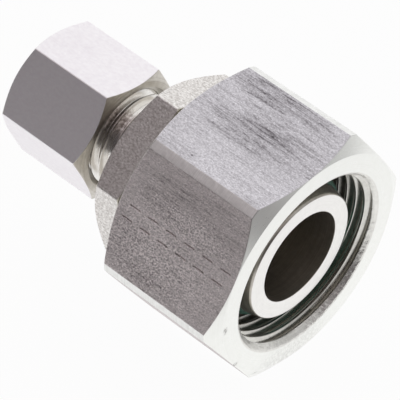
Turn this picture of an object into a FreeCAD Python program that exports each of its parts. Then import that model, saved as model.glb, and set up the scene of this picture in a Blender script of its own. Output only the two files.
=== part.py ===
import FreeCAD, Part
import math
import os

# Straight compression fitting, a 24 degree cone reducer in stainless steel. A cutting ring and a
# small union nut hold a tube at one end. At the other end a swivel nut pulls a sealing cone with
# an O-ring into a larger male connector.
#
# Frame: X runs along the fitting's axis, towards the sealing cone, and Z is up. The origin is on
# the axis at the inner end of the tube socket's straight wall, just before the tube stop. The
# fitting lies on one flat of the swivel nut. Lengths are in millimetres and angles in degrees.

# Tubes and the space that each thread leaves round its tube
SMALL_TUBE_D = 8.0
LARGE_TUBE_D = 18.0
SMALL_THREAD_SPACE = 3.0
LARGE_THREAD_SPACE = 4.0

# Fits, as gaps on the radius or square to the faces that meet
TUBE_PLAY = 0.075
RUNNING_CLEARANCE = 0.05
SEAT_CLEARANCE = 0.05
THREAD_CLEARANCE = 0.05

# Tube socket and fluid bore
CONE_HALF_ANGLE = 12.0
SOCKET_DEPTH = 7.0
SOCKET_FLARE = 1.0
STOP_CORNER = 0.15
NARROW_BORE_D = 6.0
WIDE_BORE_D = 13.3
WIDE_BORE_DEPTH = 19.5
DRILL_POINT_ANGLE = 118.0

# Threaded spigot for the small nut
SPIGOT_LENGTH = 9.9
SPIGOT_CHAMFER = 0.9
NECK_WIDTH = 1.6
NECK_DEPTH = 1.1

# Hexagon of the body
BODY_FLATS = 24.0
BODY_HEX_LENGTH = 4.9
BODY_CHAMFER_D = 23.2
BODY_CORNER_CHAMFER_D = 27.2
BODY_ROLL = -24.4

# Sealing cone and its O-ring
CONE_LEAD = 0.2
CONE_LENGTH = 8.5
CONE_EDGE = 0.25
O_RING_SECTION = 2.0
O_RING_SETBACK = 3.3
O_RING_GROOVE_DEPTH = 1.5
O_RING_SIDE_PLAY = 0.35

# Journal that the swivel nut turns on, and the round wire ring that holds the nut there
JOURNAL_STEP = 0.3
WIRE_D = 1.6
WIRE_SIDE_PLAY = 0.1
WIRE_GAP_ANGLE = 24.0

# Swivel nut
SWIVEL_WALL = 3.0
SWIVEL_LENGTH = 20.0
SWIVEL_REAR_GAP = 1.3
SWIVEL_CORNER_CUT = 0.36
SWIVEL_FRONT_CHAMFER_D = 31.9
SWIVEL_REAR_CHAMFER_D = 30.7
SWIVEL_OVERHANG = 1.55
SWIVEL_MOUTH_CHAMFER = 0.1
LAND_LENGTH = 6.0
LAND_CHAMFER = 0.3
RELIEF_WIDTH = 2.4
RELIEF_DEPTH = 0.25

# Compression nut
NUT_WALL = 1.5
NUT_LENGTH = 14.5
NUT_OVERLAP = 4.6
NUT_CHAMFER_D = 16.9
NUT_MOUTH_CHAMFER = 0.6
NUT_ENTRY_LENGTH = 3.0
NUT_ENTRY_PLAY = 0.15
NUT_ENTRY_CHAMFER = 0.3
NUT_ROLL = -11.4

# Cutting ring
RING_PLAY = 0.1
RING_COLLAR_WALL = 1.8
RING_REAR_WALL = 0.4
RING_NOSE_WALL = 0.4
RING_NECK_LENGTH = 0.9
RING_EDGE_WIDTH = 0.4
RING_RELIEF_WIDTH = 0.9
RING_RELIEF_DEPTH = 0.2

# Shared angles
CHAMFER_ANGLE = 30.0
SHOULDER_ANGLE = 45.0

HALF = 0.5
SIDES = 6
FULL_TURN = 360.0
SIDE_ANGLE = FULL_TURN / SIDES

ORIGIN = FreeCAD.Vector(0, 0, 0)
ALONG_X = FreeCAD.Vector(1, 0, 0)

cone_slope = math.tan(math.radians(CONE_HALF_ANGLE))
chamfer_slope = math.tan(math.radians(CHAMFER_ANGLE))
shoulder_slope = math.tan(math.radians(SHOULDER_ANGLE))

# Stations along the axis, from the small end to the large one
spigot_end = -SOCKET_DEPTH
body_hex_small = spigot_end + SPIGOT_LENGTH
body_hex_large = body_hex_small + BODY_HEX_LENGTH
swivel_rear = body_hex_large + SWIVEL_REAR_GAP
swivel_front = swivel_rear + SWIVEL_LENGTH
cone_front = swivel_front - SWIVEL_OVERHANG
cone_rear = cone_front - CONE_LENGTH
wire_station = swivel_rear + LAND_LENGTH * HALF
o_ring_station = cone_front - O_RING_SETBACK
nut_front = spigot_end + NUT_OVERLAP
nut_rear = nut_front - NUT_LENGTH

# Radii, from the small tube outwards
socket_r = SMALL_TUBE_D * HALF + TUBE_PLAY
socket_mouth_r = SMALL_TUBE_D * HALF + SOCKET_FLARE
small_thread_r = SMALL_TUBE_D * HALF + SMALL_THREAD_SPACE
spigot_r = small_thread_r - THREAD_CLEARANCE
nut_flats = (small_thread_r + NUT_WALL) / HALF

# Radii of the swivel end
cone_front_r = LARGE_TUBE_D * HALF + CONE_LEAD
large_thread_r = LARGE_TUBE_D * HALF + LARGE_THREAD_SPACE
swivel_flats = (large_thread_r + SWIVEL_WALL) / HALF
cone_rear_r = cone_front_r + CONE_LENGTH * cone_slope
journal_r = cone_rear_r + JOURNAL_STEP
land_r = journal_r + RUNNING_CLEARANCE
wire_r = WIRE_D * HALF
wire_path_r = journal_r


def cone_radius(station):
    """Radius of the sealing cone at a station."""
    return cone_front_r + (cone_front - station) * cone_slope


def turned(outline):
    """Solid of revolution about the axis from (station, radius) points."""
    points = [FreeCAD.Vector(station, 0, radius) for station, radius in outline]
    face = Part.Face(Part.makePolygon(points + points[:1]))
    return face.revolve(ORIGIN, ALONG_X, FULL_TURN)


def hex_bar(flats, start, length, roll):
    """Hexagonal bar along the axis, with one flat upwards before it is rolled."""
    corner_r = flats * HALF / math.cos(math.radians(SIDE_ANGLE * HALF))
    corners = []
    for side in range(SIDES):
        angle = math.radians(SIDE_ANGLE * (side + HALF))
        corners.append(FreeCAD.Vector(start, corner_r * math.sin(angle), corner_r * math.cos(angle)))
    face = Part.Face(Part.makePolygon(corners + corners[:1]))
    bar = face.extrude(ALONG_X * length)
    bar.rotate(ORIGIN, ALONG_X, roll)
    return bar


def chamfered_hex(flats, start, length, roll, start_chamfer_d, end_chamfer_d, corner_cut=0.0):
    """Hexagon turned to a 30 degree chamfer at both ends, which bows the end of each flat."""
    corner_r = flats * HALF / math.cos(math.radians(SIDE_ANGLE * HALF)) - corner_cut
    start_r = start_chamfer_d * HALF
    end_r = end_chamfer_d * HALF
    end = start + length
    blank = turned([
        (start, 0),
        (start, start_r),
        (start + (corner_r - start_r) * chamfer_slope, corner_r),
        (end - (corner_r - end_r) * chamfer_slope, corner_r),
        (end, end_r),
        (end, 0),
    ])
    return blank.common(hex_bar(flats, start, length, roll))


def spigot():
    """Short male thread, drawn as a plain cylinder at its crests, with a neck at the hexagon."""
    neck_r = spigot_r - NECK_DEPTH
    neck_start = body_hex_small - NECK_WIDTH
    inside_hex = body_hex_small + BODY_HEX_LENGTH * HALF
    return turned([
        (spigot_end, 0),
        (spigot_end, spigot_r - SPIGOT_CHAMFER),
        (spigot_end + SPIGOT_CHAMFER / shoulder_slope, spigot_r),
        (neck_start - NECK_DEPTH / shoulder_slope, spigot_r),
        (neck_start, neck_r),
        (inside_hex, neck_r),
        (inside_hex, 0),
    ])


def cone_stub():
    """Journal with the wire groove, then the sealing cone with the O-ring groove."""
    inside_hex = body_hex_small + BODY_HEX_LENGTH * HALF
    wire_half = wire_r + WIRE_SIDE_PLAY * HALF
    wire_floor = journal_r - WIRE_D - RUNNING_CLEARANCE
    ring_half = O_RING_SECTION * HALF + O_RING_SIDE_PLAY * HALF
    ring_rear = o_ring_station - ring_half
    ring_front = o_ring_station + ring_half
    ring_floor = cone_radius(o_ring_station) - O_RING_GROOVE_DEPTH
    return turned([
        (inside_hex, 0),
        (inside_hex, journal_r),
        (wire_station - wire_half, journal_r),
        (wire_station - wire_half, wire_floor),
        (wire_station + wire_half, wire_floor),
        (wire_station + wire_half, journal_r),
        (cone_rear - JOURNAL_STEP / shoulder_slope, journal_r),
        (cone_rear, cone_rear_r),
        (ring_rear, cone_radius(ring_rear)),
        (ring_rear, ring_floor),
        (ring_front, ring_floor),
        (ring_front, cone_radius(ring_front)),
        (cone_front - CONE_EDGE, cone_radius(cone_front - CONE_EDGE)),
        (cone_front, cone_front_r - CONE_EDGE * HALF),
        (cone_front, 0),
    ])


def fluid_way():
    """Everything drilled out of the body: tube socket, narrow bore and wide bore."""
    narrow_r = NARROW_BORE_D * HALF
    wide_r = WIDE_BORE_D * HALF
    flare_length = (socket_mouth_r - socket_r) / cone_slope
    wide_end = cone_front - WIDE_BORE_DEPTH
    point_length = (wide_r - narrow_r) / math.tan(math.radians(DRILL_POINT_ANGLE * HALF))
    return turned([
        (spigot_end, 0),
        (spigot_end, socket_mouth_r),
        (spigot_end + flare_length, socket_r),
        (0, socket_r),
        (STOP_CORNER, socket_r - STOP_CORNER),
        (STOP_CORNER, narrow_r),
        (wide_end - point_length, narrow_r),
        (wide_end, wide_r),
        (cone_front, wide_r),
        (cone_front, 0),
    ])


def fitting_body():
    """One-piece body: spigot, hexagon and cone stub, with the fluid way through it."""
    hexagon = chamfered_hex(
        BODY_FLATS, body_hex_small, BODY_HEX_LENGTH, BODY_ROLL, BODY_CHAMFER_D, BODY_CORNER_CHAMFER_D)
    return hexagon.fuse([spigot(), cone_stub()]).cut(fluid_way()).removeSplitter()


def o_ring():
    """O-ring in the groove of the sealing cone, standing proud of the cone."""
    section_r = O_RING_SECTION * HALF
    floor_r = cone_radius(o_ring_station) - O_RING_GROOVE_DEPTH
    centre = FreeCAD.Vector(o_ring_station, 0, 0)
    return Part.makeTorus(floor_r + section_r, section_r, centre, ALONG_X)


def retaining_ring():
    """Split ring of round wire, half in the journal and half in the nut, with its gap on top."""
    centre = FreeCAD.Vector(wire_station, 0, wire_path_r)
    section = Part.Face(Part.Wire(Part.makeCircle(wire_r, centre, FreeCAD.Vector(0, 1, 0))))
    ring = section.revolve(ORIGIN, ALONG_X, FULL_TURN - WIRE_GAP_ANGLE)
    ring.rotate(ORIGIN, ALONG_X, WIRE_GAP_ANGLE * HALF)
    return ring


def swivel_nut():
    """Large nut: a land with the wire groove, a relief, and the thread as a plain bore."""
    blank = chamfered_hex(
        swivel_flats, swivel_rear, SWIVEL_LENGTH, 0,
        SWIVEL_REAR_CHAMFER_D, SWIVEL_FRONT_CHAMFER_D, SWIVEL_CORNER_CUT)
    wire_half = wire_r + WIRE_SIDE_PLAY * HALF
    wire_roof = wire_path_r + wire_r + RUNNING_CLEARANCE
    land_end = swivel_rear + LAND_LENGTH
    relief_end = land_end + RELIEF_WIDTH
    relief_r = large_thread_r + RELIEF_DEPTH
    bore = turned([
        (swivel_rear, 0),
        (swivel_rear, land_r + LAND_CHAMFER),
        (swivel_rear + LAND_CHAMFER, land_r),
        (wire_station - wire_half, land_r),
        (wire_station - wire_half, wire_roof),
        (wire_station + wire_half, wire_roof),
        (wire_station + wire_half, land_r),
        (land_end, land_r),
        (land_end, relief_r),
        (relief_end, relief_r),
        (relief_end + RELIEF_DEPTH, large_thread_r),
        (swivel_front - SWIVEL_MOUTH_CHAMFER, large_thread_r),
        (swivel_front, large_thread_r + SWIVEL_MOUTH_CHAMFER),
        (swivel_front, 0),
    ])
    return blank.cut(bore)


def compression_nut():
    """Small nut: tube entry, 45 degree shoulder for the cutting ring, and thread as a plain bore."""
    blank = chamfered_hex(nut_flats, nut_rear, NUT_LENGTH, NUT_ROLL, NUT_CHAMFER_D, NUT_CHAMFER_D)
    entry_r = SMALL_TUBE_D * HALF + NUT_ENTRY_PLAY
    shoulder = nut_rear + NUT_ENTRY_LENGTH
    bore = turned([
        (nut_rear, 0),
        (nut_rear, entry_r + NUT_ENTRY_CHAMFER),
        (nut_rear + NUT_ENTRY_CHAMFER, entry_r),
        (shoulder, entry_r),
        (shoulder + (small_thread_r - entry_r) / shoulder_slope, small_thread_r),
        (nut_front - NUT_MOUTH_CHAMFER, small_thread_r),
        (nut_front, small_thread_r + NUT_MOUTH_CHAMFER),
        (nut_front, 0),
    ])
    return blank.cut(bore)


def cutting_ring():
    """Cutting ring: nose in the body's cone with two inner edges, and a rear on the nut's shoulder."""
    bore_r = SMALL_TUBE_D * HALF + RING_PLAY
    relief_r = bore_r + RING_RELIEF_DEPTH
    collar_r = bore_r + RING_COLLAR_WALL
    rear_r = bore_r + RING_REAR_WALL
    # The nose lies inside the socket's cone, the seat clearance away from it.
    seat_r = socket_mouth_r - SEAT_CLEARANCE / math.cos(math.radians(CONE_HALF_ANGLE))
    nose_r = bore_r + RING_NOSE_WALL
    nose = spigot_end + (seat_r - nose_r) / cone_slope
    nose_base = spigot_end - RING_NECK_LENGTH
    nose_base_r = seat_r + RING_NECK_LENGTH * cone_slope
    collar_front = nose_base - (collar_r - nose_base_r) / shoulder_slope
    # The rear cone lies inside the nut's shoulder, the seat clearance away from it.
    entry_r = SMALL_TUBE_D * HALF + NUT_ENTRY_PLAY
    shoulder = nut_rear + NUT_ENTRY_LENGTH
    seat_shift = SEAT_CLEARANCE / math.sin(math.radians(SHOULDER_ANGLE))
    rear = shoulder + (rear_r - entry_r) / shoulder_slope + seat_shift
    collar_rear = rear + (collar_r - rear_r) / shoulder_slope
    first_relief = nose - RING_EDGE_WIDTH
    second_edge = first_relief - RING_RELIEF_WIDTH
    second_relief = second_edge - RING_EDGE_WIDTH
    relief_end = second_relief - RING_RELIEF_WIDTH
    return turned([
        (nose, bore_r),
        (nose, nose_r),
        (nose_base, nose_base_r),
        (collar_front, collar_r),
        (collar_rear, collar_r),
        (rear, rear_r),
        (rear, bore_r),
        (relief_end - RING_RELIEF_DEPTH, bore_r),
        (relief_end, relief_r),
        (second_relief, relief_r),
        (second_relief, bore_r),
        (second_edge, bore_r),
        (second_edge, relief_r),
        (first_relief, relief_r),
        (first_relief, bore_r),
    ])


PIECES = {
    "fitting_body": fitting_body,
    "o_ring": o_ring,
    "retaining_ring": retaining_ring,
    "swivel_nut": swivel_nut,
    "compression_nut": compression_nut,
    "cutting_ring": cutting_ring,
}

os.makedirs("parts", exist_ok=True)
for name, make in PIECES.items():
    shape = make()
    solid = shape.Solids[0] if shape.Solids else shape
    solid.exportStep(os.path.join("parts", name + ".step"))
    box = solid.BoundBox
    print(name, "solids", len(shape.Solids), "valid", solid.isValid(), "volume", round(solid.Volume, 1),
          "box", [round(v, 2) for v in (box.XMin, box.YMin, box.ZMin, box.XMax, box.YMax, box.ZMax)])
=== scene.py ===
# %% [markdown]
# # A straight compression fitting in stainless steel
#
# The real object joins an 8 mm tube to an 18 mm one. Six pieces make it: a turned body with a
# hexagon in its middle, a small nut and a hidden cutting ring at the tube's end, and a large
# swivel nut, a hidden wire ring and a green O-ring round the sealing cone at the other end.
#
# The solids of all six come in as a fixed frame, so their sizes are settled before this lesson
# starts. Three of them are plain where the real ones have screw threads and worked edges. Those
# three get a finer mesh here, and the other three keep theirs and only get a finish.

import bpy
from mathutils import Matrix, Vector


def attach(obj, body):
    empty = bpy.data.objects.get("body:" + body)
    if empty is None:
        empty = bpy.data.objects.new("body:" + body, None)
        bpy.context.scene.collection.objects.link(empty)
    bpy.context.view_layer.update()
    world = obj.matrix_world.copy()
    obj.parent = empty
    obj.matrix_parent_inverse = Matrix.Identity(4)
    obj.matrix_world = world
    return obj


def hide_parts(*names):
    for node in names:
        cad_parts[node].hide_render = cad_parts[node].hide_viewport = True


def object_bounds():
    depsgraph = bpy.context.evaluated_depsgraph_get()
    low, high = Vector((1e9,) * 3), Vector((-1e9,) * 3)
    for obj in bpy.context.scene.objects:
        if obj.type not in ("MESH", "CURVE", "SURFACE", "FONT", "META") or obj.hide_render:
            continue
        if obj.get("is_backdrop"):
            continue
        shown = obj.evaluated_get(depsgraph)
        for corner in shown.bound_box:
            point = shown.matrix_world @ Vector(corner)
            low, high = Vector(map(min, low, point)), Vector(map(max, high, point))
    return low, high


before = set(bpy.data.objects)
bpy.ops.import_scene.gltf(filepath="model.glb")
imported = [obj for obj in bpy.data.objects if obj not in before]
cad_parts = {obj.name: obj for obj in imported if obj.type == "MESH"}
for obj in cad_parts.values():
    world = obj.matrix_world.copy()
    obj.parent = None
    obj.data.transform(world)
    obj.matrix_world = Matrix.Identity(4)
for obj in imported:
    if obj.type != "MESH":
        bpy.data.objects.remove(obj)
cad_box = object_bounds()
print("solids:", ", ".join(sorted(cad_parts)))

# %% Modules
import math

import bmesh
import bpy
from mathutils import Vector

# %% [markdown]
# ## One way to build all the turned pieces
#
# A lathe makes most of this object, and a hexagonal bar is the stock. So each piece is a closed
# outline that goes round the axis, and only its outer edge changes with the angle where the bar's
# flats were left. A Screw or Spin modifier can turn an outline, but it can't give it flats. Cutting
# a turned mesh with a hexagon by a Boolean works, but leaves long thin faces at every bowed edge.
#
# Here each angle gets its own outline, a column of points, with the same number of points in each.
# Faces join each column to the next. Edges then lie exactly where two surfaces meet.

# %% Points around the axis
MM = 0.001


def around(station, radius, angle):
    """Point at a station and radius in millimetres. Angle 0 is straight up."""
    return (station * MM, -radius * math.sin(angle) * MM, radius * math.cos(angle) * MM)


def mesh_from_columns(name, columns, finishes):
    """Closed mesh from one outline per column, each a list of (station, radius, finish)."""
    count = len(columns[0][1])
    points, faces, slots = [], [], []
    for angle, outline in columns:
        points += [around(station, radius, angle) for station, radius, finish in outline]
    for column in range(len(columns) - 1):
        here, there = column * count, (column + 1) * count
        outline = columns[column][1]
        for row in range(count):
            after = (row + 1) % count
            faces.append((here + row, there + row, there + after, here + after))
            slots.append(finishes.index(outline[row][2]))
    mesh = bpy.data.meshes.new(name)
    mesh.from_pydata(points, [], faces)
    mesh.polygons.foreach_set("material_index", slots)
    return mesh


# %% [markdown]
# Points that land on each other are merged, which closes the loop at a full turn and takes away
# faces with no area. What is left has to be a closed skin, so the step counts the edges that
# don't have a face on both sides, and there should be none.

# %% Close a mesh and measure it
MERGE_DISTANCE = 1e-6
SHARP_ANGLE = math.radians(12)


def closed_object(mesh):
    """Merges double points, turns the faces outwards, and links the mesh as an object."""
    work = bmesh.new()
    work.from_mesh(mesh)
    bmesh.ops.remove_doubles(work, verts=work.verts, dist=MERGE_DISTANCE)
    bmesh.ops.recalc_face_normals(work, faces=work.faces)
    if work.calc_volume(signed=True) < 0:
        bmesh.ops.reverse_faces(work, faces=work.faces)
    loose = sum(1 for edge in work.edges if len(edge.link_faces) != 2)
    volume = work.calc_volume(signed=True) * 1e9
    work.to_mesh(mesh)
    work.free()
    piece = bpy.data.objects.new(mesh.name, mesh)
    bpy.context.scene.collection.objects.link(piece)
    print(f"{mesh.name}: {len(mesh.polygons)} faces, {loose} open edges, {volume:.0f} mm3")
    return piece


# %% [markdown]
# Smooth shading blends the direction of light over each edge. On a long flat that ends in a narrow
# broken edge this bends the light across the whole flat, and it no longer looks flat. So only edges
# under 12 degrees are blended: the round surfaces, where neighbours differ by a degree or two. A
# Weighted Normal modifier would also keep the flats flat, but it draws a seam where narrow faces
# lie beside wide ones in a bore.

# %% Smooth shading with true flats
def apply_modifier(piece, kind, **options):
    """Adds a modifier and applies it at once."""
    modifier = piece.modifiers.new(kind.lower(), kind)
    for option, value in options.items():
        setattr(modifier, option, value)
    with bpy.context.temp_override(object=piece, active_object=piece):
        bpy.ops.object.modifier_apply(modifier=modifier.name)


def smooth_with_flats(piece):
    """Smooth shading on round surfaces, with flats that stay flat."""
    for face in piece.data.polygons:
        face.use_smooth = True
    piece.data.set_sharp_from_angle(angle=SHARP_ANGLE)


# %% [markdown]
# ## The hexagon and its bowed edges
#
# The bar's flats meet at six corners, and the tool turns each corner a little. A plain minimum of
# the flat's distance and the corner's radius would leave a knife edge there. A soft minimum rounds
# it over a few hundredths of a millimetre, as a file or the drawing die leaves it.
#
# The ends of the bar are turned to a 30 degree cone, and where that cone leaves a flat it leaves a
# bowed line. Nothing has to be drawn for it: the cone just starts further back where the hexagon
# is wider.

# %% Outer radius of a hexagon
SIDES = 6
SIDE_DEGREES = 60
SIDE = math.radians(SIDE_DEGREES)
CHAMFER_SLOPE = math.tan(math.radians(30))
EDGE_BLEND = 0.03
HAIR = math.radians(0.02)


def soft_minimum(first, second, blend):
    """The smaller of two lengths, with the change from one to the other rounded."""
    near = max(blend - abs(first - second), 0) / blend
    return min(first, second) - near * near * blend / 4


def hexagon_radius(flats, roll, corner, angle):
    """Distance from the axis to the outside of the turned hexagon."""
    local = (angle - roll + SIDE / 2) % SIDE - SIDE / 2
    return soft_minimum(flats / 2 / math.cos(local), corner, EDGE_BLEND)


def skin(flats, roll, corner, angle):
    """Finish of the space that follows an angle: the bar's skin, or a corner that was turned."""
    local = (angle + HAIR - roll + SIDE / 2) % SIDE - SIDE / 2
    return "corner" if flats / 2 / math.cos(local) > corner else "drawn"


# %% [markdown]
# The columns stand close together where a flat ends, because that is where the shape changes, and
# evenly everywhere else, so that bores stay round.

# %% Angles of the columns
EVEN_STEPS = 40
NEAR_CORNER = (0.0, 0.08, 0.18, 0.4, 0.9)
SMALLEST_STEP = 0.05


def column_angles(flats, roll, corner):
    """Angles from one corner of the hexagon round to the same corner."""
    half = SIDE_DEGREES / 2
    edge = math.degrees(math.acos(flats / 2 / corner))
    local = {SIDE_DEGREES * step / EVEN_STEPS - half for step in range(EVEN_STEPS)}
    for offset in NEAR_CORNER:
        for turn in (edge - offset, edge + offset):
            local.update((turn, -turn))
    kept = []
    for turn in sorted(turn for turn in local if -half <= turn < half):
        if not kept or turn - kept[-1] > SMALLEST_STEP:
            kept.append(turn)
    turns = [SIDE_DEGREES * side + turn for side in range(SIDES) for turn in kept]
    return [roll + math.radians(turn) for turn in turns + [360 - half]]


# %% [markdown]
# ## Broken edges
#
# No machined edge is perfectly sharp. Each one is broken by a deburring tool, and the thin line of
# light along it is what makes metal look real. The outline's corners are therefore cut to a tiny
# arc of three points. A Bevel modifier could do it, but its width would fight with the thin faces
# at the bowed edges, while here the arc shrinks with the space it has.

# %% Round the corners of an outline
EDGE_BREAK = 0.09
LARGEST_SHARE = 0.3


def broken_edges(outline, size=EDGE_BREAK):
    """Cuts each soft corner of a closed outline to a small arc. Hard points stay as they are."""
    made = []
    for number, (station, radius, finish, soft) in enumerate(outline):
        if not soft:
            made.append((station, radius, finish))
            continue
        before = outline[number - 1]
        after = outline[(number + 1) % len(outline)]
        here = Vector((station, radius))
        back = Vector(before[:2]) - here
        ahead = Vector(after[:2]) - here
        cut = min(size, LARGEST_SHARE * back.length, LARGEST_SHARE * ahead.length)
        first = here + back.normalized() * cut
        last = here + ahead.normalized() * cut
        middle = (first + here * 2 + last) / 4
        made.append((first.x, first.y, before[2]))
        made.append((middle.x, middle.y, finish))
        made.append((last.x, last.y, finish))
    return made


# %% [markdown]
# ## Screw threads
#
# Both threads are metric fine threads with a pitch of 1.5 mm and 60 degree flanks. The rows of the
# mesh follow the helix: each column's points lie a little further along the axis than those of the
# column before, and after a full turn they have moved by exactly one pitch. So the crest is one
# clean line, and there is no need for a dense grid.
#
# Where the thread ends, the rows are held at the end of the span, and the cone of the countersink
# or the chamfer takes over, as when a thread is cut into a part that was chamfered first. A lead
# moves the whole helix along, so that its first crest comes out of the cone at the right place.

# %% Rows of a thread in one column
PITCH = 1.5
THREAD_DEPTH = 0.812
THREAD_PROFILE = (
    (-0.17, 0.14), (-0.07, 0.01), (0.07, 0.01), (0.17, 0.14), (0.28, 0.323), (0.41, 0.548),
    (0.535, 0.764), (0.60, THREAD_DEPTH), (0.90, THREAD_DEPTH), (0.965, 0.764),
    (1.09, 0.548), (1.22, 0.323))
SPARE_TURNS = 2


def thread_rows(start, end, outer_radius, limit, angle, first_angle, finishes, lead=0.0):
    """Thread from start to end, with limit(station, radius) keeping it inside its cones.

    The first of the two finishes is the thread's, and the second is that of the cones."""
    turn = angle / math.tau + lead / PITCH
    lowest = math.floor(start / PITCH - first_angle / math.tau) - SPARE_TURNS
    highest = math.ceil(end / PITCH - first_angle / math.tau) + SPARE_TURNS
    rows = []
    for number in range(lowest, highest):
        for place, depth in THREAD_PROFILE:
            station = min(max(PITCH * (number + turn) + place, start), end)
            cut = outer_radius - depth
            radius = limit(station, cut)
            rows.append((station, radius, finishes[radius != cut], False))
    return rows


# %% [markdown]
# ## The fitting body
#
# One bar, turned from both ends: a threaded spigot with a neck, the hexagon, a journal with a
# groove for the wire ring, and the sealing cone with its O-ring groove. Inside are the tube's
# socket, a narrow bore and a wide one with the cone of a drill at its end. The outline goes once
# round all of that. Its sizes repeat those of the solid that it stands for.

# %% Body: sizes outside, with stations and radii in millimetres
BODY_HEX = (24.0, math.radians(-24.4), 13.80)
BODY_CHAMFER = 11.6
BODY_CORNER_BREAK = 13.6
BODY_HEX_ENDS = (2.9, 7.8)
DEBURRED = 0.08
SPIGOT_SPAN = (-7.0, 1.3)
SPIGOT_RADIUS = 6.95
SPIGOT_FACE = 6.05
NECK_RADIUS = 5.85
JOURNAL_RADIUS = 11.307
JOURNAL_END = 18.75
WIRE_GROOVE = (11.25, 12.95)
WIRE_GROOVE_FLOOR = 9.657
CONE_START = 19.05
CONE_EDGE = 27.30
CONE_FRONT = 27.55
CONE_FACE = 9.075
CONE_FRONT_RADIUS = 9.2
CONE_SLOPE = math.tan(math.radians(12))
SEAL_GROOVE = (23.075, 25.425)
SEAL_GROOVE_FLOOR = 8.401

# %% Body: sizes of the bores
WIDE_BORE = 6.65
DRILL_CONE = (8.05, 5.857)
NARROW_BORE = 3.0
TUBE_STOP = 0.15
SOCKET_BOTTOM = 3.925
SOCKET = 4.075
SOCKET_END = -2.648
SOCKET_MOUTH = 5.0


# %% Body: outline of one column
def cone_radius(station):
    """Radius of the sealing cone."""
    return CONE_FRONT_RADIUS + (CONE_FRONT - station) * CONE_SLOPE


def spigot_limit(station, radius):
    """The spigot's chamfer and the slope down to its neck, both at 45 degrees."""
    start, end = SPIGOT_SPAN
    return min(radius, SPIGOT_FACE + (station - start), NECK_RADIUS + (end - station))


def body_outline(angle, first_angle):
    """Closed outline of the body at one angle."""
    wide = hexagon_radius(*BODY_HEX, angle)
    bow = (wide - BODY_CHAMFER) * CHAMFER_SLOPE
    small, large = BODY_HEX_ENDS
    large_end = min(BODY_CORNER_BREAK, wide - DEBURRED)
    large_bow = (wide - large_end) * CHAMFER_SLOPE
    spigot_end, neck_start = SPIGOT_SPAN
    outline = [(spigot_end, SOCKET_MOUTH, "turned", True), (spigot_end, SPIGOT_FACE, "thread", False)]
    outline += thread_rows(spigot_end, neck_start, SPIGOT_RADIUS, spigot_limit, angle, first_angle,
                           ("thread", "turned"))
    outline += [(neck_start, NECK_RADIUS, "turned", False)]
    outline += [(station, radius, "turned", True) for station, radius in (
        (small, NECK_RADIUS), (small, BODY_CHAMFER))]
    outline += [
        (small + bow, wide, "drawn", True),
        (large - large_bow, wide, "turned", False),
        (large, large_end, "turned", False),
    ]
    outline += [(station, radius, "turned", True) for station, radius in (
        (large, JOURNAL_RADIUS),
        (WIRE_GROOVE[0], JOURNAL_RADIUS), (WIRE_GROOVE[0], WIRE_GROOVE_FLOOR),
        (WIRE_GROOVE[1], WIRE_GROOVE_FLOOR), (WIRE_GROOVE[1], JOURNAL_RADIUS),
        (JOURNAL_END, JOURNAL_RADIUS), (CONE_START, cone_radius(CONE_START)),
        (SEAL_GROOVE[0], cone_radius(SEAL_GROOVE[0])), (SEAL_GROOVE[0], SEAL_GROOVE_FLOOR),
        (SEAL_GROOVE[1], SEAL_GROOVE_FLOOR), (SEAL_GROOVE[1], cone_radius(SEAL_GROOVE[1])),
        (CONE_EDGE, cone_radius(CONE_EDGE)))]
    outline += [(CONE_FRONT, CONE_FACE, "faced", True)]
    outline += [(station, radius, "bored", True) for station, radius in (
        (CONE_FRONT, WIDE_BORE), (DRILL_CONE[0], WIDE_BORE), (DRILL_CONE[1], NARROW_BORE),
        (TUBE_STOP, NARROW_BORE), (TUBE_STOP, SOCKET_BOTTOM), (0.0, SOCKET), (SOCKET_END, SOCKET))]
    return broken_edges(outline)


# %% Body: mesh
BODY_FINISHES = ["turned", "thread", "drawn", "faced", "bored"]
angles = column_angles(*BODY_HEX)
columns = [(angle, body_outline(angle, angles[0])) for angle in angles]
fitting_body = closed_object(mesh_from_columns("fitting_body_machined", columns, BODY_FINISHES))
smooth_with_flats(fitting_body)
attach(fitting_body, "fitting")
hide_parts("fitting_body")

# %% [markdown]
# ## The swivel nut
#
# The large nut has the same kind of outline: a turned cone at each end of its flats, and inside a
# land that runs on the body's journal, the groove for the wire ring, a relief where the threading
# tool runs out, and the thread. Its corners are turned more than the body's, which leaves a narrow
# band along each of them. The edge of the mouth is rounded in three steps, because it is the edge
# that is knocked most and that the eye meets first.

# %% Swivel nut: sizes, with stations and radii in millimetres
SWIVEL_HEX = (32.0, 0.0, 18.113)
SWIVEL_ENDS = (9.1, 29.1)
SWIVEL_CHAMFERS = (15.35, 15.95)
COUNTERSINK_RADIUS = 13.1
COUNTERSINK_SLOPE = math.tan(math.radians(40))
MOUTH_ROUND = ((29.1, 13.26), (29.08, 13.18), (29.04, 13.09))
MOUTH_ROUND_START = 28.99
SWIVEL_THREAD = 13.0
SWIVEL_THREAD_START = 17.5
THREAD_LEAD = 0.12
RELIEF_START = 15.1
RELIEF_RADIUS = 13.25
NUT_GROOVE_FLOOR = 12.157
LAND_RADIUS = 11.357
LAND_CHAMFER = 0.3


# %% Swivel nut: outline of one column
def swivel_limit(station, radius):
    """The mouth's countersink and the 45 degree slope out of the relief."""
    countersink = COUNTERSINK_RADIUS - (SWIVEL_ENDS[1] - station) * COUNTERSINK_SLOPE
    return max(radius, countersink, RELIEF_RADIUS - (station - SWIVEL_THREAD_START))


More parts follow.
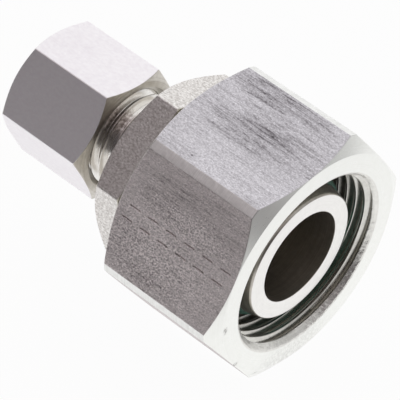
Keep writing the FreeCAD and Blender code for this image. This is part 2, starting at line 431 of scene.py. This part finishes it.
def swivel_outline(angle, first_angle):
    """Closed outline of the swivel nut at one angle."""
    wide = hexagon_radius(*SWIVEL_HEX, angle)
    rear, front = SWIVEL_ENDS
    rear_bow, front_bow = ((wide - chamfer) * CHAMFER_SLOPE for chamfer in SWIVEL_CHAMFERS)
    outline = [
        (rear, LAND_RADIUS + LAND_CHAMFER, "turned", True),
        (rear, SWIVEL_CHAMFERS[0], "turned", True),
        (rear + rear_bow, wide, skin(*SWIVEL_HEX, angle), True),
        (front - front_bow, wide, "faced", True),
        (front, SWIVEL_CHAMFERS[1], "faced", False),
        *((station, radius, "sunk", False) for station, radius in MOUTH_ROUND),
    ]
    outline += reversed(thread_rows(SWIVEL_THREAD_START, MOUTH_ROUND_START, SWIVEL_THREAD,
                                    swivel_limit, angle, first_angle, ("thread", "sunk"), THREAD_LEAD))
    outline += [(SWIVEL_THREAD_START, RELIEF_RADIUS, "turned", False)]
    outline += [(station, radius, "turned", True) for station, radius in (
        (RELIEF_START, RELIEF_RADIUS), (RELIEF_START, LAND_RADIUS),
        (WIRE_GROOVE[1], LAND_RADIUS), (WIRE_GROOVE[1], NUT_GROOVE_FLOOR),
        (WIRE_GROOVE[0], NUT_GROOVE_FLOOR), (WIRE_GROOVE[0], LAND_RADIUS),
        (rear + LAND_CHAMFER, LAND_RADIUS))]
    return broken_edges(outline)


# %% Swivel nut: mesh
SWIVEL_FINISHES = ["turned", "thread", "drawn", "faced", "corner", "sunk"]
angles = column_angles(*SWIVEL_HEX)
columns = [(angle, swivel_outline(angle, angles[0])) for angle in angles]
swivel_nut = closed_object(mesh_from_columns("swivel_nut_machined", columns, SWIVEL_FINISHES))

# %% [markdown]
# One flat carries two rows of plain short strokes, pressed into it. Each stroke is a small boat:
# open above the surface and pointed below it. A Boolean modifier takes all the boats out of the
# flat at once, which is the usual way to sink a shape where the mesh has no edges for it.

# %% Strokes on the front flat
STROKE = (2.0, 0.32, 0.18)
STROKE_ROWS = ((-0.5, 11.0), (1.4, 10.4))
STROKES_IN_ROW = 6
STROKE_STEP = 3.05
STROKE_END = 0.3
ABOVE = 0.05


def stroke_boats(flat_angle):
    """Mesh of all the strokes on the flat at an angle."""
    outwards = Vector(around(0, 1, flat_angle)) / MM
    across = Vector((0, -math.cos(flat_angle), -math.sin(flat_angle)))
    length, width, depth = STROKE
    points, faces = [], []
    for row, first_station in STROKE_ROWS:
        for number in range(STROKES_IN_ROW):
            station = first_station + number * STROKE_STEP
            base = len(points)
            for along, aside, height in (
                (0, -0.5, ABOVE), (1, -0.5, ABOVE), (1, 0.5, ABOVE), (0, 0.5, ABOVE),
                (STROKE_END / length, 0, -depth), (1 - STROKE_END / length, 0, -depth),
            ):
                place = outwards * (SWIVEL_HEX[0] / 2 + height) + across * (row + aside * width)
                place.x = station + along * length
                points.append(place * MM)
            faces += [[base + corner for corner in face] for face in (
                (0, 1, 2, 3), (0, 4, 5, 1), (2, 5, 4, 3), (1, 5, 2), (3, 4, 0))]
    mesh = bpy.data.meshes.new("stroke_boats")
    mesh.from_pydata(points, [], faces)
    mesh.polygons.foreach_set("material_index", [SWIVEL_FINISHES.index("drawn")] * len(faces))
    return mesh


boats = closed_object(stroke_boats(SIDE))
apply_modifier(swivel_nut, "BOOLEAN", object=boats, operation="DIFFERENCE", solver="EXACT")
bpy.data.meshes.remove(boats.data)
print("swivel nut with strokes:", len(swivel_nut.data.polygons), "faces")

# %% Swivel nut: shading and place
smooth_with_flats(swivel_nut)
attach(swivel_nut, "swivel")
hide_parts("swivel_nut")

# %% [markdown]
# ## The compression nut
#
# The small nut has full corners and the same thread as the spigot, which starts at the same place
# on the helix, so the two threads lie in each other. Behind the thread is the 45 degree shoulder
# that pushes the cutting ring, then the hole for the tube. The outline holds all of it, so the
# inside needs no modelling of its own.

# %% Compression nut: sizes, with stations and radii in millimetres
NUT_HEX = (17.0, math.radians(-11.4), 9.77)
NUT_ENDS = (-16.9, -2.4)
NUT_CHAMFER = 8.45
NUT_COUNTERSINK = 7.6
NUT_THREAD = 7.0
NUT_THREAD_END = -9.6
SHOULDER = (-11.05, -13.9)
TUBE_HOLE = 4.15
TUBE_HOLE_END = -16.6
TUBE_HOLE_MOUTH = 4.45


# %% Compression nut: outline of one column
def nut_limit(station, radius):
    """The mouth's countersink and the end of the thread, both at 45 degrees."""
    return max(radius, NUT_COUNTERSINK - (NUT_ENDS[1] - station),
               NUT_THREAD - (station - NUT_THREAD_END))


def nut_outline(angle, first_angle):
    """Closed outline of the compression nut at one angle."""
    wide = hexagon_radius(*NUT_HEX, angle)
    bow = (wide - NUT_CHAMFER) * CHAMFER_SLOPE
    rear, front = NUT_ENDS
    outline = [
        (rear, TUBE_HOLE_MOUTH, "turned", True),
        (rear, NUT_CHAMFER, "turned", True),
        (rear + bow, wide, "drawn", True),
        (front - bow, wide, "turned", True),
        (front, NUT_CHAMFER, "turned", True),
        (front, NUT_COUNTERSINK, "thread", False),
    ]
    outline += reversed(thread_rows(NUT_THREAD_END, front, NUT_THREAD, nut_limit, angle, first_angle,
                                    ("thread", "turned")))
    outline += [
        (NUT_THREAD_END, NUT_THREAD, "turned", False),
        (SHOULDER[0], NUT_THREAD, "turned", True),
        (SHOULDER[1], TUBE_HOLE, "turned", True),
        (TUBE_HOLE_END, TUBE_HOLE, "turned", True),
    ]
    return broken_edges(outline)


# %% Compression nut: mesh
NUT_FINISHES = ["turned", "thread", "drawn"]
angles = column_angles(*NUT_HEX)
columns = [(angle, nut_outline(angle, angles[0])) for angle in angles]
compression_nut = closed_object(mesh_from_columns("compression_nut_machined", columns, NUT_FINISHES))
smooth_with_flats(compression_nut)
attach(compression_nut, "nut")
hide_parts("compression_nut")

# %% [markdown]
# ## Finishes
#
# Every metal here is the same stainless steel, and what tells the surfaces apart is how each was
# worked. A small helper adds one node and fills its inputs, which keeps the finishes readable.

# %% A helper for nodes
def node(tree, kind, inputs=None, **options):
    """Adds a node, sets its options, and fills or links its inputs by name or number."""
    made = tree.nodes.new(kind)
    for option, value in options.items():
        setattr(made, option, value)
    for socket, value in (inputs or {}).items():
        if isinstance(value, bpy.types.NodeSocket):
            tree.links.new(value, made.inputs[socket])
        else:
            made.inputs[socket].default_value = value
    return made


def value_of(tree, operation, *inputs):
    """Result of a Math node."""
    return node(tree, "ShaderNodeMath", dict(enumerate(inputs)), operation=operation).outputs[0]


def noise(tree, place, scale, stretch=(1, 1, 1), detail=3.0, roughness=0.5):
    """Noise with its scale in features per millimetre, stretched along the object's axes."""
    per_metre = [scale * share / MM for share in stretch]
    turned = node(tree, "ShaderNodeVectorMath", {0: place, 1: per_metre}, operation="MULTIPLY")
    made = node(tree, "ShaderNodeTexNoise", {
        "Vector": turned.outputs[0], "Scale": 1.0, "Detail": detail, "Roughness": roughness})
    return made.outputs["Fac"]


# %% Ramps and sums
def ramp(tree, factor, low, high, to_low=0.0, to_high=1.0, kind="LINEAR"):
    """Stretches a value from one range to another, and holds it there."""
    return node(tree, "ShaderNodeMapRange", {
        "Value": factor, "From Min": low, "From Max": high,
        "To Min": to_low, "To Max": to_high}, interpolation_type=kind).outputs["Result"]


def blended(tree, *shares):
    """Sum of (value, share) pairs."""
    parts = [value_of(tree, "MULTIPLY", value, share) for value, share in shares]
    total = parts[0]
    for part in parts[1:]:
        total = value_of(tree, "ADD", total, part)
    return total


# %% [markdown]
# Wear and dirt aren't even, so some of it is put where it belongs, and one spot paints shade. A soft
# spot is the distance from a point, turned into a value that fades out. An image painted over the
# piece could do the same, but a few spots with a place and a size are easy to move, and they need
# no unwrapping.

# %% Soft spots
SPOT_CORE = 0.1


def patch(tree, place, centre, reach, strength):
    """Soft spot round a point, both in millimetres: full in its middle and 0 outside its reach."""
    moved = node(tree, "ShaderNodeVectorMath", {
        0: place, 1: [value * MM for value in centre]}, operation="SUBTRACT")
    scaled = node(tree, "ShaderNodeVectorMath", {
        0: moved.outputs[0], 1: [value * MM for value in reach]}, operation="DIVIDE")
    far = node(tree, "ShaderNodeVectorMath", {0: scaled.outputs[0]}, operation="LENGTH")
    return ramp(tree, far.outputs["Value"], SPOT_CORE, 1.0, strength, 0.0, "SMOOTHSTEP")


def patches(tree, place, spots):
    """All soft spots together."""
    total = patch(tree, place, *spots[0])
    for spot in spots[1:]:
        total = value_of(tree, "MAXIMUM", total, patch(tree, place, *spot))
    return total


# %% Mix of two colours
def mixed(tree, factor, first, second):
    """Mix of two colours."""
    made = node(tree, "ShaderNodeMix", data_type="RGBA")
    colours = [socket for socket in made.inputs if socket.type == "RGBA"]
    tree.links.new(factor, made.inputs[0])
    for socket, value in zip(colours, (first, second)):
        if isinstance(value, bpy.types.NodeSocket):
            tree.links.new(value, socket)
        else:
            socket.default_value = (*value, 1.0)
    return next(socket for socket in made.outputs if socket.type == "RGBA")


# %% [markdown]
# ### What all metals share
#
# Bare metal has no colour of its own apart from what it mirrors, so the shader's Metallic is 1, and
# its base colour, roughness and relief make the finish. The patterns follow the object's own
# coordinates: they turn with a nut when it turns, and a millimetre on them is a real one. Generated
# coordinates would stretch with the size of the piece.

# %% Start of a metal
def new_metal(name):
    """Material with a metallic shader, and the object's own coordinates."""
    made = bpy.data.materials.new(name)
    made.use_nodes = True
    tree = made.node_tree
    shader = tree.nodes["Principled BSDF"]
    shader.inputs["Metallic"].default_value = 1.0
    place = node(tree, "ShaderNodeTexCoord").outputs["Object"]
    return made, tree, shader, place


def set_roughness(tree, shader, tone, roughness, swing):
    """Roughness that falls where the tone is light."""
    tree.links.new(ramp(tree, tone, 0.0, 1.0, roughness + swing, roughness - swing),
                   shader.inputs["Roughness"])


def set_bump(tree, shader, height, strength, depth):
    """Relief of a given depth in millimetres."""
    bump = node(tree, "ShaderNodeBump", {
        "Height": height, "Strength": strength, "Distance": depth * MM})
    tree.links.new(bump.outputs["Normal"], shader.inputs["Normal"])


# %% [markdown]
# ### Drawn flats
#
# The flats are the skin of the drawn bar, pickled and tumbled. The skin is covered with tiny pits,
# which scatter the light and give the flats their dull sparkle. The die also leaves fine lines
# along the bar, and some of them hold dark residue. So there is an even noise for the pits, one for
# the few that glint, three stretched along the axis for long, fine and broken lines, and a large
# one that says where the lines are dark. The pits are mostly relief, and the lines mostly colour.
#
# No two flats look quite alike. The flat on top gets painted light: its colour is made cooler and
# brighter, and a distance along the flat's own direction picks it out. Others are gritty in places.

# %% Lines that the die left
# Each kind: features per millimetre, stretch along the bar, detail, span of its noise, share.
DIE_LINES = {
    "long": (1.5, 0.04, 3.0, (0.35, 0.65), 0.4),
    "fine": (4.4, 0.045, 3.0, (0.48, 0.66), 0.8),
    "broken": (3.6, 0.15, 2.0, (0.56, 0.68), 0.75),
}
ROUGH_NOISE = 0.6
CLOUD_SCALE = 0.16
CLOUD_STRETCH = (0.45, 1.0, 1.0)
CLOUD_SPAN = (0.35, 0.65)
CLOUD_MOST = 0.3
LINES_LEAST = 0.2
LINES_FULL_WHERE = 0.6


def dark_places(tree, place, stained):
    """Where the lines are dark: large clouds, and the listed stains."""
    clouds = noise(tree, place, CLOUD_SCALE, CLOUD_STRETCH, 3.0, ROUGH_NOISE)
    where = ramp(tree, clouds, *CLOUD_SPAN, 0.0, CLOUD_MOST)
    if stained:
        where = value_of(tree, "MAXIMUM", where, patches(tree, place, stained))
    return where


def die_lines(tree, place, where):
    """The fine lines by themselves, for the relief, and the darkness of all lines together."""
    drawn, shares = {}, []
    for kind, (scale, stretch, detail, span, share) in DIE_LINES.items():
        drawn[kind] = noise(tree, place, scale, (stretch, 1.0, 1.0), detail, ROUGH_NOISE)
        shares.append((ramp(tree, drawn[kind], *span), share))
    strength = ramp(tree, where, 0.0, LINES_FULL_WHERE, LINES_LEAST, 1.0)
    return drawn["fine"], value_of(tree, "MULTIPLY", blended(tree, *shares), strength)


# %% Drawn skin
# Painted light: tint that makes the flat on top cooler and brighter.
RUBBED_TINT = (1.03, 1.10, 1.15)
FLAT_EDGE = (0.4, 0.1)
PIT_COLOUR = (0.12, 0.11, 0.12)
PIT_STRETCH = (0.7, 1.0, 1.0)
PIT_SPAN = (0.32, 0.68)
GLINT_SCALE = 3.8
GLINT_STRETCH = (0.8, 1.0, 1.0)
GLINT_SPAN = (0.60, 0.70)
GLINT_SHARE = 0.5
GRITTY_TIMES = 3
CLOUD_SHARE = 0.7
BASE_TONE = 0.62
LIFT_FOR_LINES = 0.3
DRAWN_SWING = 0.06
PIT_RELIEF, GLINT_RELIEF, LINE_RELIEF = 0.6, 0.15, 0.25


def one_flat(tree, place, angle, distance):
    """1 on the flat at an angle and a distance from the axis, and 0 on the other flats."""
    outwards = Vector(around(0, 1, angle)) / MM
    far = node(tree, "ShaderNodeVectorMath", {0: place, 1: outwards}, operation="DOT_PRODUCT")
    low, high = ((distance - short) * MM for short in FLAT_EDGE)
    return ramp(tree, far.outputs["Value"], low, high)


def drawn_metal(name, dark, light, roughness, pits, grit, lines, grain=4.8, stained=(), spots=(),
                gritty=(), rubbed=None):
    """Skin of a drawn bar: depth of its pits in mm, then the shares of speckle and of dark lines.

    Lines only darken, so a part of their share is added again to keep the flat's mean tone."""
    made, tree, shader, place = new_metal(name)
    pit = noise(tree, place, grain, PIT_STRETCH, 2.0, ROUGH_NOISE)
    glint = noise(tree, place, GLINT_SCALE, GLINT_STRETCH, 1.0, 0.5)
    glinting = ramp(tree, glint, *GLINT_SPAN)
    where = dark_places(tree, place, stained)
    fine, lined = die_lines(tree, place, where)
    gritty_here = patches(tree, place, gritty) if gritty else 0.0
    speckle = ramp(tree, gritty_here, 0.0, 1.0, grit, grit * GRITTY_TIMES)
    tone = blended(tree, (ramp(tree, pit, *PIT_SPAN, -0.5, 0.5), speckle),
                   (value_of(tree, "MULTIPLY", glinting, speckle), GLINT_SHARE),
                   (where, -lines * CLOUD_SHARE), (lined, -lines))
    tone = ramp(tree, value_of(tree, "ADD", tone, BASE_TONE + lines * LIFT_FOR_LINES), 0.0, 1.0)
    colour = mixed(tree, tone, dark, light)
    # Painted light: the chosen flat, the one on top, is made cooler and brighter.
    if rubbed:
        cooler = node(tree, "ShaderNodeVectorMath", {0: colour, 1: RUBBED_TINT}, operation="MULTIPLY")
        colour = mixed(tree, one_flat(tree, place, *rubbed), colour, cooler.outputs[0])
    if spots:
        colour = mixed(tree, patches(tree, place, spots), colour, PIT_COLOUR)
    tree.links.new(colour, shader.inputs["Base Color"])
    set_roughness(tree, shader, tone, roughness, DRAWN_SWING)
    height = blended(tree, (pit, PIT_RELIEF), (glinting, GLINT_RELIEF), (fine, LINE_RELIEF))
    set_bump(tree, shader, height, 1.0, pits)
    return made


# %% [markdown]
# ### Turned faces
#
# A turning tool leaves a fine spiral, which reads as rings round the axis. A Wave texture has rings
# too, but they are all alike. Here the station and the distance from the axis drive a noise, which
# then changes across the rings and not along them.
#
# A fresh cut is brighter and smoother than the bar's skin, so it mirrors the dark and the bright
# side of the room with a sharp edge between them. In a countersink the tool chatters, and a coarser
# wobble breaks that edge up into patches.

# %% Turned surface
TURNED_SPAN = (0.3, 0.7)
RING_SHARE = 0.6
SPECK_SCALE = 1.2
SPECK_SHARE = 0.4
WEAR_SCALE = 2.5
WEAR_SPAN = (0.35, 0.6)
TURNED_SWING = 0.04


def turned_metal(name, dark, light, roughness, rings, relief, chatter=0.0, spots=(),
                 residue=(0.30, 0.29, 0.28)):
    """Freshly turned steel with fine rings. Relief is their depth in millimetres."""
    made, tree, shader, place = new_metal(name)
    parts = node(tree, "ShaderNodeSeparateXYZ", {0: place})
    flat = node(tree, "ShaderNodeCombineXYZ", {1: parts.outputs[1], 2: parts.outputs[2]})
    radius = node(tree, "ShaderNodeVectorMath", {0: flat.outputs[0]}, operation="LENGTH")
    ring_place = node(tree, "ShaderNodeCombineXYZ", {
        0: parts.outputs[0], 1: radius.outputs["Value"]})
    ring = noise(tree, ring_place.outputs[0], rings, (1, 1, 1), 2.0, ROUGH_NOISE)
    speck = noise(tree, place, SPECK_SCALE, (1, 1, 1), 3.0, ROUGH_NOISE)
    tone = blended(tree, (ramp(tree, ring, *TURNED_SPAN), RING_SHARE),
                   (ramp(tree, speck, *TURNED_SPAN), SPECK_SHARE))
    colour = mixed(tree, tone, dark, light)
    # Spots darken the colour towards residue: real scuffs, and painted shade where a spot stands for
    # it.
    if spots:
        worn = value_of(tree, "MULTIPLY", patches(tree, place, spots),
                        ramp(tree, noise(tree, place, WEAR_SCALE), *WEAR_SPAN))
        colour = mixed(tree, worn, colour, residue)
    tree.links.new(colour, shader.inputs["Base Color"])
    set_roughness(tree, shader, tone, roughness, TURNED_SWING)
    set_bump(tree, shader, blended(tree, (ring, 1.0), (speck, chatter)), 1.0, relief)
    return made


# %% [markdown]
# The flat that lies on top has darker stained bands along it and two small pits, the one in front
# has stains and two gritty places, the spigot's front gets painted shade in the recess between the
# small nut and the hexagon, and the front face has a few scuffs near its lower edge and a wide,
# weak darkening there. They are given as soft spots with a centre and a reach in millimetres, and a
# strength.
#
# The turned faces of the body and the small nut are a darker copy of the swivel nut's, as painted
# shade for these recessed faces. The spigot, the cone's front and the bore each have a finish of
# their own.

# %% Soft spots: centre, reach and strength of each
TOP_STAINS = (
    ((19.6, 1.9, 16.0), (7.5, 1.4, 3.0), 1.0),
    ((19.8, 0.8, 16.0), (9.0, 4.4, 3.0), 0.85),
    ((14.2, 0.6, 16.0), (5.0, 2.6, 3.0), 0.5),
    ((18.0, -1.7, 16.0), (11.0, 0.9, 3.0), 0.8),
    ((15.5, 5.6, 16.0), (8.0, 0.8, 3.0), 0.95),
    ((17.5, 7.2, 16.0), (15.0, 3.2, 3.0), 0.65),
    ((22.0, 3.2, 16.0), (15.0, 12.0, 3.0), 0.40))
FRONT_STAINS = (
    ((15.0, -12.2, 10.9), (7.0, 2.6, 3.0), 0.45),
    ((19.0, -10.9, 13.1), (12.0, 1.6, 3.0), 0.50))
TOP_PITS = (
    ((21.0, 1.71, 16.0), (0.42, 0.28, 0.4), 1.0),
    ((15.8, -7.35, 16.0), (0.25, 0.2, 0.4), 1.0))
FRONT_GRIT = (
    ((16.5, -15.8, 4.6), (15.0, 6.2, 8.5), 0.8),
    ((20.0, -12.7, 10.0), (12.0, 2.6, 3.8), 0.7))
FACE_SCUFFS = (
    ((29.1, -15.5, 0.3), (0.5, 0.5, 1.0), 1.0),
    ((29.0, -13.8, -7.9), (0.5, 1.0, 0.5), 1.0),
    ((28.8, -9.5, -13.8), (0.6, 0.9, 0.5), 1.0),
    # The last spot is wide and weak, and darkens the lower part of the face.
    ((29.1, -3.5, -14.6), (3.0, 11.0, 5.0), 0.25))
# Painted shade on the spigot's front, in the recess between the small nut and the hexagon.
SPIGOT_OIL = (((-1.4, -2.9, 6.3), (3.0, 3.8, 3.6), 1.3),)
NUT_CLOUDS = (((-13.5, 1.0, 8.6), (5.0, 4.0, 4.0), 0.8),)
print("soft spots on the top and front flats:", len(TOP_STAINS + FRONT_STAINS + TOP_PITS + FRONT_GRIT))

# %% Drawn finishes: a dark and a light colour each, then the strength of what is on them
# The swivel nut's top flat gets painted light, cooler and brighter than its other flats.
swivel_drawn = drawn_metal(
    "swivel_nut_drawn_flats", (0.215, 0.188, 0.193), (0.895, 0.828, 0.827),
    roughness=0.54, pits=0.075, grit=0.36, lines=0.40, grain=5.4, stained=TOP_STAINS + FRONT_STAINS,
    spots=TOP_PITS, gritty=FRONT_GRIT, rubbed=(0.0, SWIVEL_HEX[0] / 2))
body_drawn = drawn_metal(
    "body_drawn_flats", (0.35, 0.315, 0.29), (0.97, 0.95, 0.93),
    roughness=0.50, pits=0.050, grit=0.62, lines=0.06, grain=4.2)
nut_drawn = drawn_metal(
    "small_nut_drawn_flats", (0.82, 0.775, 0.82), (1.0, 0.985, 1.0),
    roughness=0.54, pits=0.008, grit=0.26, lines=0.10, grain=2.0, stained=NUT_CLOUDS)

# %% Turned finishes: a dark and a light colour each, then rings per millimetre and their depth
turned_steel = turned_metal(
    "turned_steel", (0.78, 0.77, 0.72), (0.92, 0.91, 0.87), roughness=0.32, rings=12, relief=0.004)
# Painted shade: a darker copy of the turned steel, for the body's and the small nut's turned faces.
dull_steel = turned_metal(
    "turned_and_pickled", (0.44, 0.41, 0.365), (0.72, 0.69, 0.635),
    roughness=0.30, rings=12, relief=0.004)
# Painted shade: the threads are darker than the turned steel, so that they stay dark in the mouth.
thread_steel = turned_metal(
    "thread_steel", (0.58, 0.57, 0.53), (0.80, 0.79, 0.75), roughness=0.22, rings=14, relief=0.002)
spigot_steel = turned_metal(
    "spigot_steel", (0.74, 0.72, 0.69), (0.96, 0.94, 0.91),
    roughness=0.22, rings=14, relief=0.002, spots=SPIGOT_OIL, residue=(0.38, 0.35, 0.325))
sunk_steel = turned_metal(
    "countersink_steel", (0.74, 0.73, 0.69), (0.94, 0.93, 0.90),
    roughness=0.36, rings=12, relief=0.004, chatter=50.0)
faced_steel = turned_metal(
    "faced_steel", (0.90, 0.905, 0.87), (0.97, 0.975, 0.95),
    roughness=0.30, rings=9, relief=0.003, spots=FACE_SCUFFS)
lapped_steel = turned_metal(
    "cone_front_steel", (0.84, 0.83, 0.81), (0.98, 0.965, 0.94),
    roughness=0.30, rings=9, relief=0.003)
bored_steel = turned_metal(
    "bored_steel", (0.42, 0.39, 0.345), (0.66, 0.615, 0.55), roughness=0.38, rings=10, relief=0.006)
corner_steel = turned_metal(
    "turned_corners", (0.76, 0.765, 0.745), (1.0, 1.0, 0.99),
    roughness=0.50, rings=8, relief=0.006, chatter=8.0)

# %% Finishes on the machined pieces, in the order of each piece's own list
for piece, finishes in (
    (fitting_body, (dull_steel, spigot_steel, body_drawn, lapped_steel, bored_steel)),
    (swivel_nut, (turned_steel, thread_steel, swivel_drawn, faced_steel, corner_steel, sunk_steel)),
    (compression_nut, (dull_steel, thread_steel, nut_drawn)),
):
    for finish in finishes:
        piece.data.materials.append(finish)
    print(piece.name, "finishes:", len(piece.data.materials))

# %% [markdown]
# ### The three small rings
#
# The cutting ring is turned, the wire ring is drawn spring wire, and the O-ring is a green rubber
# made for oil. Rubber isn't metallic: it gets a soft sheen from its roughness, and a fine moulding
# grain. These three keep their solids' meshes.

# %% Rubber
RUBBER_DARK = (0.045, 0.17, 0.125)
RUBBER_LIGHT = (0.09, 0.26, 0.20)
RUBBER_SPAN = (0.3, 0.7)
RUBBER_ROUGHNESS = (0.35, 0.5)
RUBBER_GRAIN, RUBBER_CLOUDS = 6.0, 0.8
RUBBER_RELIEF = 0.01


def seal_rubber():
    """Green rubber, matt, with a fine grain."""
    made = bpy.data.materials.new("seal_rubber_green")
    made.use_nodes = True
    tree = made.node_tree
    shader = tree.nodes["Principled BSDF"]
    place = node(tree, "ShaderNodeTexCoord").outputs["Object"]
    grain = noise(tree, place, RUBBER_GRAIN, (1, 1, 1), 3.0, ROUGH_NOISE)
    cloud = noise(tree, place, RUBBER_CLOUDS, (1, 1, 1), 2.0, 0.5)
    colour = mixed(tree, ramp(tree, cloud, *RUBBER_SPAN), RUBBER_DARK, RUBBER_LIGHT)
    tree.links.new(colour, shader.inputs["Base Color"])
    tree.links.new(ramp(tree, grain, *RUBBER_SPAN, *RUBBER_ROUGHNESS), shader.inputs["Roughness"])
    set_bump(tree, shader, grain, 0.3, RUBBER_RELIEF)
    return made


wire_steel = drawn_metal("drawn_spring_wire", (0.42, 0.42, 0.42), (0.66, 0.66, 0.65),
                         roughness=0.32, pits=0.004, grit=0.3, lines=0.2)
for solid, finish in (("o_ring", seal_rubber()), ("retaining_ring", wire_steel),
                      ("cutting_ring", turned_steel)):
    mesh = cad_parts[solid].data
    mesh.materials.clear()
    mesh.materials.append(finish)
    print(solid, "finish:", finish.name)

# %% [markdown]
# ## Floor, light and camera
#
# The fitting lies on one flat of its large nut, on a plain white sheet. To the camera the sheet is
# white, and so is what the metal mirrors of it, but it still keeps the soft shadow underneath.
# In the metal the sheet grows dimmer beyond the mouth, as a real one does away from its lamps.
#
# The glow must not act as a lamp. Cycles aims rays at glowing surfaces by itself, and those rays
# are neither seen by the camera nor mirrored, so the metal would lose that light. With its
# emission sampling off, the sheet is only found by the rays that the metal sends out.

# %% Floor, in metres
FLOOR_HEIGHT = -0.016
FLOOR_HALF = 0.4
FADE_SPAN = (0.02, 0.15)
FADED = 0.58
GLOW_SHARE = 0.96
SHEET_COLOUR = (0.9, 0.9, 0.9, 1)
WHITE = (1, 1, 1, 1)


def make_floor():
    """A flat sheet under the fitting, white to the camera and in the metal."""
    mesh = bpy.data.meshes.new("studio_floor")
    ends = (-FLOOR_HALF, FLOOR_HALF)
    corners = [(x, y, FLOOR_HEIGHT) for x, y in
               ((ends[0], ends[0]), (ends[1], ends[0]), (ends[1], ends[1]), (ends[0], ends[1]))]
    mesh.from_pydata(corners, [], [(0, 1, 2, 3)])
    made = bpy.data.materials.new("studio_floor_white")
    made.use_nodes = True
    made.cycles.emission_sampling = "NONE"
    tree = made.node_tree
    tree.nodes.clear()
    path = node(tree, "ShaderNodeLightPath")
    seen = value_of(tree, "MAXIMUM", path.outputs["Is Camera Ray"], path.outputs["Is Glossy Ray"])
    seen = value_of(tree, "MAXIMUM", seen, path.outputs["Is Transmission Ray"])
    share = value_of(tree, "MULTIPLY", seen, GLOW_SHARE)
    parts = node(tree, "ShaderNodeSeparateXYZ", {0: node(tree, "ShaderNodeTexCoord").outputs["Object"]})
    away = ramp(tree, parts.outputs[0], *FADE_SPAN, 1.0, FADED, "SMOOTHSTEP")
    strength = value_of(tree, "MAXIMUM", path.outputs["Is Camera Ray"], away)
    sheet = node(tree, "ShaderNodeBsdfDiffuse", {"Color": SHEET_COLOUR})
    glow = node(tree, "ShaderNodeEmission", {"Color": WHITE, "Strength": strength})
    both = node(tree, "ShaderNodeMixShader", {0: share, 1: sheet.outputs[0], 2: glow.outputs[0]})
    node(tree, "ShaderNodeOutputMaterial", {"Surface": both.outputs[0]})
    mesh.materials.append(made)
    floor = bpy.data.objects.new("studio_floor", mesh)
    bpy.context.scene.collection.objects.link(floor)
    return floor


make_floor()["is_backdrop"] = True

# %% [markdown]
# Metal shows what stands around it, so the light of this picture is a soft gradient all round
# rather than a few lamps. It is bright behind, dark in front, and grows lighter overhead, which
# makes the near flats grey and the top flats light. Low on the right, behind, it is dimmer, and
# that puts the dark band into the countersink. The front is a little warmer than the rest.

# %% World
# The spans are of a direction's share upwards, to the right or to the back.
OVERHEAD_SPAN = (0.58, 0.94)
FRONT_LEVELS = (0.06, 0.61)
RIGHT_SPAN = (0.0, 0.35)
RIGHT_DIMMED = 0.58
BEHIND_LEVEL = 1.05
BACK_SPAN = (-0.08, 0.42)
FRONT_TINT = (1.12, 1.0, 1.03)


def make_world():
    """A soft gradient for the metal, and white for the camera."""
    world = bpy.data.worlds.new("studio_light")
    bpy.context.scene.world = world
    world.use_nodes = True
    tree = world.node_tree
    tree.nodes.clear()
    direction = node(tree, "ShaderNodeTexCoord").outputs["Generated"]
    parts = node(tree, "ShaderNodeSeparateXYZ", {0: direction})
    overhead = ramp(tree, parts.outputs[2], *OVERHEAD_SPAN, 0.0, 1.0, "SMOOTHSTEP")
    front = ramp(tree, overhead, 0.0, 1.0, *FRONT_LEVELS)
    right = ramp(tree, parts.outputs[0], *RIGHT_SPAN, 0.0, 1.0, "SMOOTHSTEP")
    low = ramp(tree, overhead, 0.0, 1.0, RIGHT_DIMMED, 0.0)
    behind = value_of(tree, "SUBTRACT", BEHIND_LEVEL, value_of(tree, "MULTIPLY", right, low))
    back = ramp(tree, parts.outputs[1], *BACK_SPAN, 0.0, 1.0, "SMOOTHSTEP")
    level = node(tree, "ShaderNodeMix", {0: back, 2: front, 3: behind}).outputs[0]
    tint = mixed(tree, back, FRONT_TINT, WHITE[:3])
    path = node(tree, "ShaderNodeLightPath")
    light = node(tree, "ShaderNodeBackground", {"Color": tint, "Strength": level})
    white = node(tree, "ShaderNodeBackground", {"Color": WHITE, "Strength": 1.0})
    both = node(tree, "ShaderNodeMixShader", {
        0: path.outputs["Is Camera Ray"], 1: light.outputs[0], 2: white.outputs[0]})
    node(tree, "ShaderNodeOutputWorld", {"Surface": both.outputs[0]})
    print("world:", len(tree.nodes), "nodes")


make_world()

# %% [markdown]
# The camera stands where the photograph was taken from: about 42 cm away, to the right and 48
# degrees above the bench, with a long lens.

# %% Camera
CAMERA_PLACE = Vector((0.20083, -0.20262, 0.30807))
AZIMUTH = math.radians(43.25)
ELEVATION = math.radians(48.15)
LENS = 290.8
SENSOR_WIDTH = 36.0
FAR_CLIP = 10.0

backwards = Vector((
    math.sin(AZIMUTH) * math.cos(ELEVATION),
    -math.cos(AZIMUTH) * math.cos(ELEVATION),
    math.sin(ELEVATION)))
camera_data = bpy.data.cameras.new("camera")
camera_data.lens = LENS
camera_data.sensor_width = SENSOR_WIDTH
camera_data.clip_end = FAR_CLIP
camera = bpy.data.objects.new("camera", camera_data)
camera.location = CAMERA_PLACE
camera.rotation_euler = (-backwards).to_track_quat("-Z", "Y").to_euler()
bpy.context.scene.collection.objects.link(camera)
bpy.context.scene.camera = camera
bpy.context.scene.view_settings.view_transform = "Standard"
print("camera", [round(value, 3) for value in camera.location])

# %% [markdown]
# ## Size of the dressed fitting
#
# The dressed fitting has to keep the size of its solids, so the sizes of both boxes are printed.

# %% Sizes
dressed_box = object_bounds()
for label, box in (("solids", cad_box), ("dressed", dressed_box)):
    print(label, [round((box[1][axis] - box[0][axis]) / MM, 2) for axis in range(3)], "mm")
